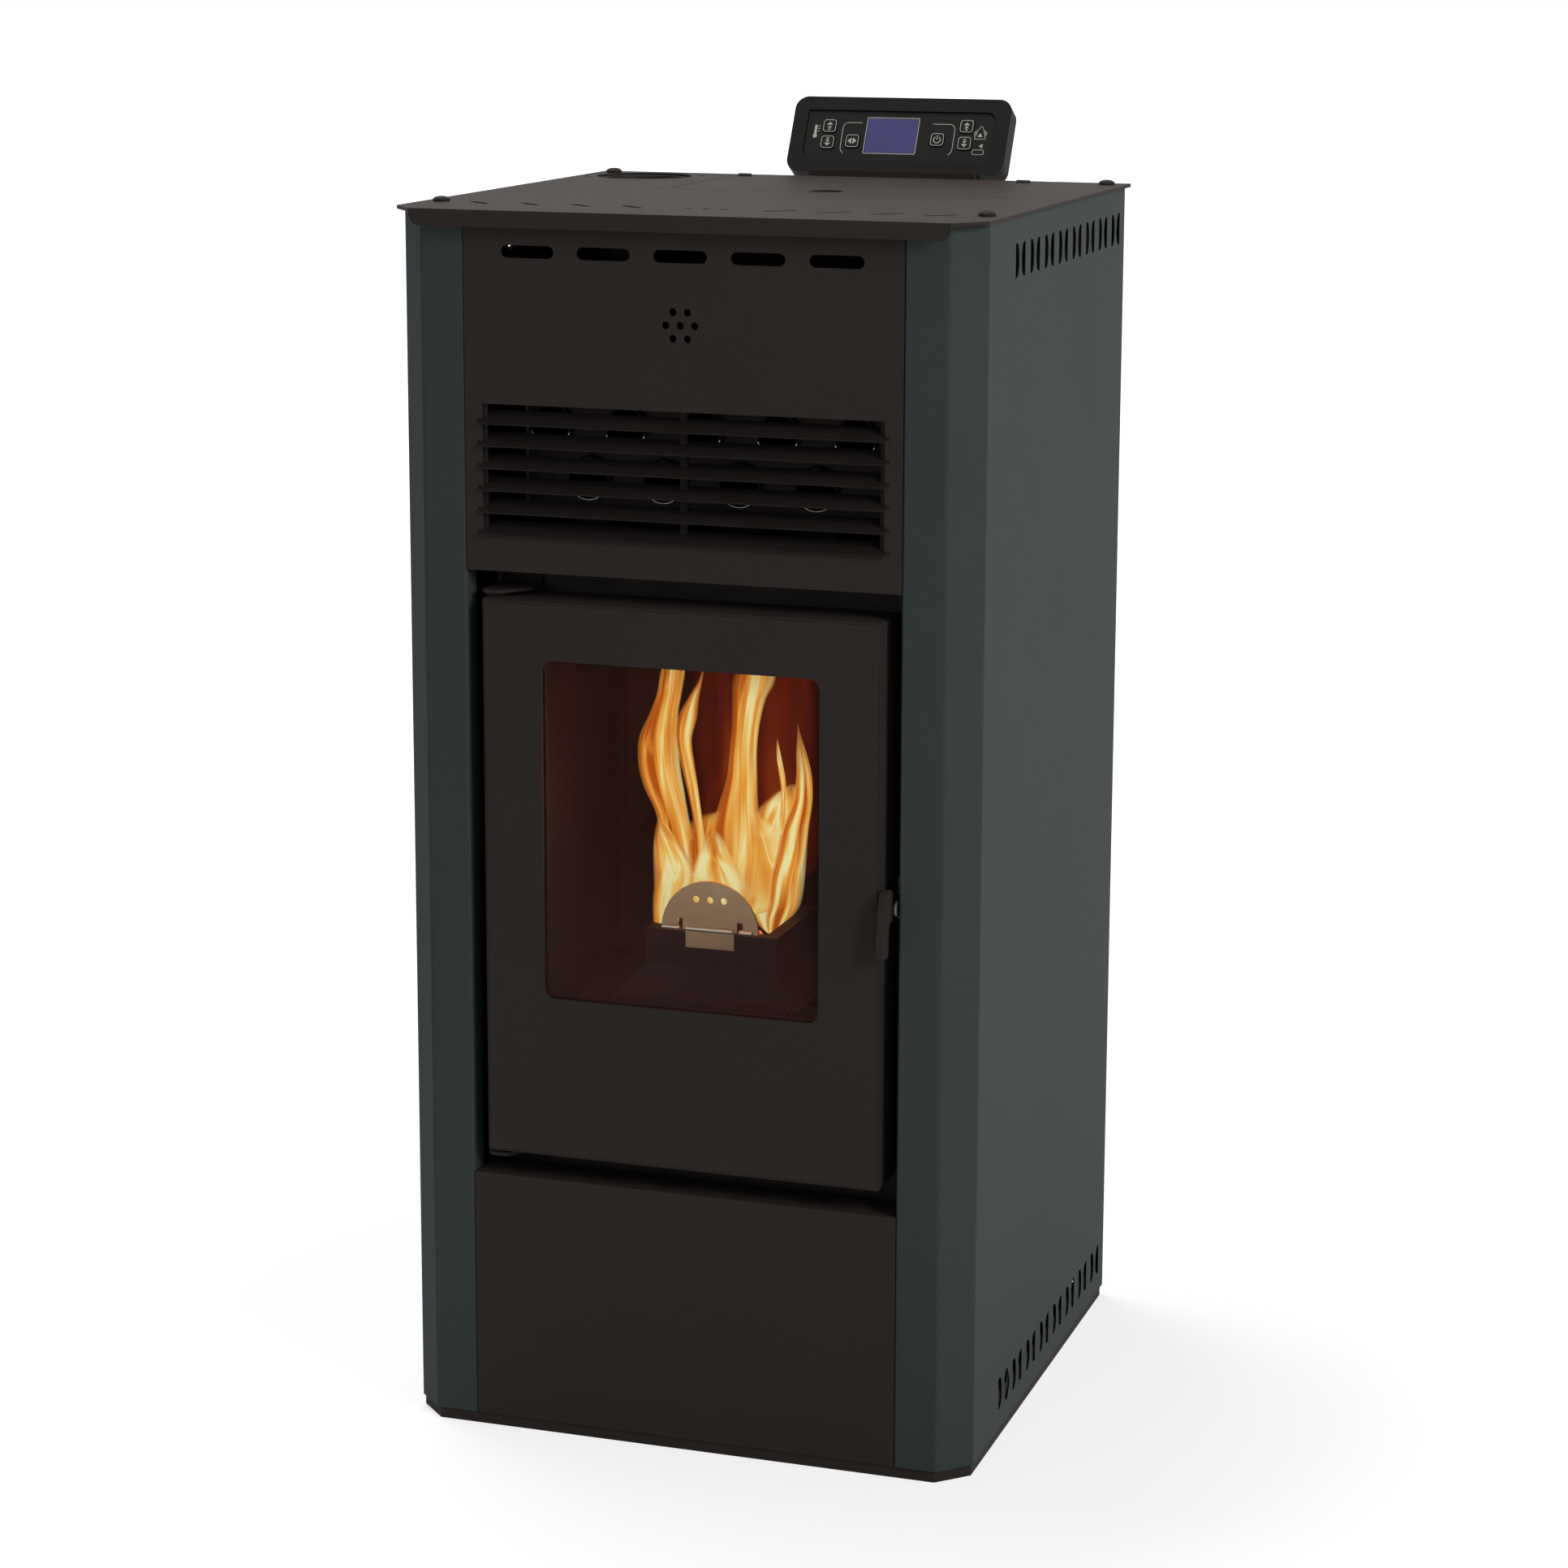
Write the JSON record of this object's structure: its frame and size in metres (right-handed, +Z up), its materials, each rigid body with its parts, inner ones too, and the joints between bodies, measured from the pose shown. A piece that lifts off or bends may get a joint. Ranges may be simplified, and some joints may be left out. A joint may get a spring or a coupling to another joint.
{
  "type": "pellet stove",
  "caption": "Free-standing pellet stove with a glazed door, warm-air louvres, pellet hopper under a lifting lid, screw feed, burn pot, fans and a tilted keypad.",
  "frame": {"origin": "centre of the footprint's bounding box, on the floor", "axes": "+Z up, the door faces -Y, +X to the right of someone who looks at the door"},
  "size_m": [0.488, 0.5581, 1.081],
  "materials": {
    "slate_paint": "fine-textured slate grey powder coat",
    "black_paint": "fine-textured warm black powder coat",
    "cast_iron": "heat-stained dark cast iron",
    "glass": "clear heat-resistant glass",
    "rope_seal": "woven glass-fibre rope and tape",
    "sheet_steel": "plain galvanised or bright sheet steel",
    "flame_steel": "stainless steel with a straw heat tint",
    "dark_plastic": "fine-grained dark moulded plastic",
    "keypad": "satin black keypad film",
    "screen": "violet-blue backlit display",
    "fire_lining": "ribbed cast lining with soot",
    "motor_paint": "grey motor enamel"
  },
  "bodies": {
    "casing": {"base_frame": "black_paint", "left_side_panel": "slate_paint", "right_side_panel": "slate_paint", "rear_panel": "black_paint", "upper_front_panel": "black_paint", "lower_front_panel": "black_paint", "air_grille": "black_paint", "top_plate": "black_paint", "top_screw_front_left": "black_paint", "top_screw_front_right": "black_paint", "top_screw_rear_left": "black_paint", "top_screw_rear_right": "black_paint", "lid_hinge_left": "sheet_steel", "lid_hinge_right": "sheet_steel", "flue_pipe": "sheet_steel", "lid_seal": "rope_seal", "hopper": "sheet_steel", "hopper_guard": "sheet_steel", "auger_tube": "sheet_steel", "auger_motor": "motor_paint", "feed_chute": "sheet_steel", "firebox_shell": "cast_iron", "firebox_lining": "fire_lining", "baffle_plate": "cast_iron", "burn_pot_holder": "cast_iron", "burn_pot": "cast_iron", "flame_plate": "flame_steel", "ash_drawer": "sheet_steel", "igniter": "sheet_steel", "heat_exchanger": "sheet_steel", "exchanger_hood": "sheet_steel", "door_catch": "sheet_steel", "hinge_bracket_top": "black_paint", "hinge_bracket_bottom": "black_paint", "smoke_fan_housing": "sheet_steel", "room_fan_housing": "sheet_steel", "air_intake_pipe": "sheet_steel", "control_box": "dark_plastic", "power_inlet": "dark_plastic", "panel_neck": "black_paint", "panel_housing": "dark_plastic", "panel_bezel": "keypad", "panel_screen": "screen"},
    "door": {"door_frame": "black_paint", "door_glass": "glass", "glass_retainer": "sheet_steel", "door_seal": "rope_seal", "handle_pivot": "sheet_steel"},
    "handle": {"door_handle": "black_paint"},
    "lid": {"hopper_lid": "black_paint"},
    "auger": {"auger_screw": "sheet_steel"},
    "smoke_fan": {"smoke_fan_wheel": "sheet_steel"},
    "room_fan": {"room_fan_wheel": "sheet_steel"},
    "rocker": {"power_switch": "dark_plastic"},
    "left_up": {"key_left_up": "keypad"},
    "left_down": {"key_left_down": "keypad"},
    "menu": {"key_menu": "keypad"},
    "power": {"key_power": "keypad"},
    "right_up": {"key_right_up": "keypad"},
    "right_down": {"key_right_down": "keypad"}
  },
  "joints": [
    {"name": "door_hinge", "type": "hinge", "parent": "casing", "child": "door", "pos_m": [-0.162, -0.24818, 0.47], "axis": [0, 0, -1], "range_deg": [0, 100]},
    {"name": "handle_turn", "type": "hinge", "parent": "door", "child": "handle", "pos_m": [0.172, -0.24518, 0.472], "axis": [-1, 0, 0], "range_deg": [0, 50]},
    {"name": "lid_hinge", "type": "hinge", "parent": "casing", "child": "lid", "pos_m": [0.026, 0.19582, 1.0133], "axis": [-1, 0, 0], "range_deg": [0, 80]},
    {"name": "auger_spin", "type": "hinge", "parent": "casing", "child": "auger", "pos_m": [0, 0.12882, 0.434], "axis": [0, -0.5, 0.866], "continuous": true},
    {"name": "smoke_fan_spin", "type": "hinge", "parent": "casing", "child": "smoke_fan", "pos_m": [-0.186, 0.14082, 0.14], "axis": [1, 0, 0], "continuous": true},
    {"name": "room_fan_spin", "type": "hinge", "parent": "casing", "child": "room_fan", "pos_m": [0.045, 0.10682, 0.082], "axis": [1, 0, 0], "continuous": true},
    {"name": "power_switch_rock", "type": "hinge", "parent": "casing", "child": "rocker", "pos_m": [0.19, 0.2075, 0.1075], "axis": [-1, 0, 0], "range_deg": [0, 12]},
    {"name": "press_left_up", "type": "slide", "parent": "casing", "child": "left_up", "axis": [0, 0.8746, -0.4848], "range_m": [0, 0.0006], "stiffness_N_per_m": 400, "springref_m": -0.0005},
    {"name": "press_left_down", "type": "slide", "parent": "casing", "child": "left_down", "axis": [0, 0.8746, -0.4848], "range_m": [0, 0.0006], "stiffness_N_per_m": 400, "springref_m": -0.0005},
    {"name": "press_menu", "type": "slide", "parent": "casing", "child": "menu", "axis": [0, 0.8746, -0.4848], "range_m": [0, 0.0006], "stiffness_N_per_m": 400, "springref_m": -0.0005},
    {"name": "press_power", "type": "slide", "parent": "casing", "child": "power", "axis": [0, 0.8746, -0.4848], "range_m": [0, 0.0006], "stiffness_N_per_m": 400, "springref_m": -0.0005},
    {"name": "press_right_up", "type": "slide", "parent": "casing", "child": "right_up", "axis": [0, 0.8746, -0.4848], "range_m": [0, 0.0006], "stiffness_N_per_m": 400, "springref_m": -0.0005},
    {"name": "press_right_down", "type": "slide", "parent": "casing", "child": "right_down", "axis": [0, 0.8746, -0.4848], "range_m": [0, 0.0006], "stiffness_N_per_m": 400, "springref_m": -0.0005}
  ]
}
